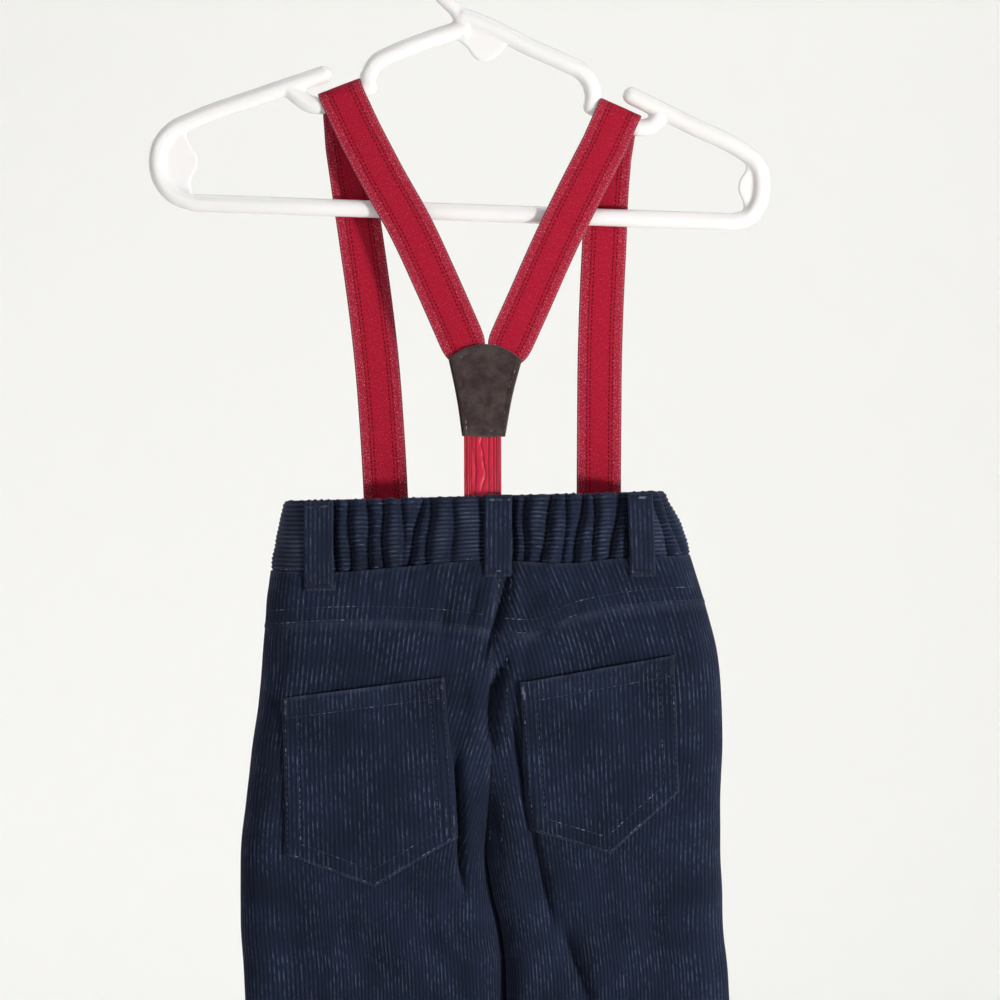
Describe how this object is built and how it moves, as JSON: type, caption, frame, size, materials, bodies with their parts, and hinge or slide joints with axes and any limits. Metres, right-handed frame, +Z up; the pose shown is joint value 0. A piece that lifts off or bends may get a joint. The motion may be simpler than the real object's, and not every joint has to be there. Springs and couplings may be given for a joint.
{
  "type": "suspender pants on a hanger",
  "caption": "Child's corduroy pants with striped Y-back suspenders, hung by the straps in the notches of a moulded hanger, seen from behind; open waist and legs.",
  "frame": {"origin": "the inside top of the hanger's hook, where a rod or wall hook holds it", "axes": "+Z up, +X to the right as the garment's back is seen, -Y out of the garment's back"},
  "size_m": [0.3102, 0.0438, 0.7549],
  "materials": {
    "corduroy": "navy cotton corduroy, cut wale, soft sheen",
    "webbing": "woven elastic webbing, red with dark stripes",
    "suede": "brushed dark brown suede",
    "hanger_plastic": "moulded white polystyrene, smooth"
  },
  "bodies": {
    "root": {"waistband_back": "corduroy", "waistband_front": "corduroy", "yoke_left": "corduroy", "yoke_right": "corduroy", "back_left": "corduroy", "back_right": "corduroy", "front_left": "corduroy", "front_right": "corduroy", "pocket_left": "corduroy", "pocket_right": "corduroy", "loop_left": "corduroy", "loop_middle": "corduroy", "loop_right": "corduroy", "strap_left": "webbing", "strap_right": "webbing", "strap_short": "webbing", "patch_outer": "suede", "patch_inner": "suede", "hanger": "hanger_plastic"}
  },
  "joints": []
}
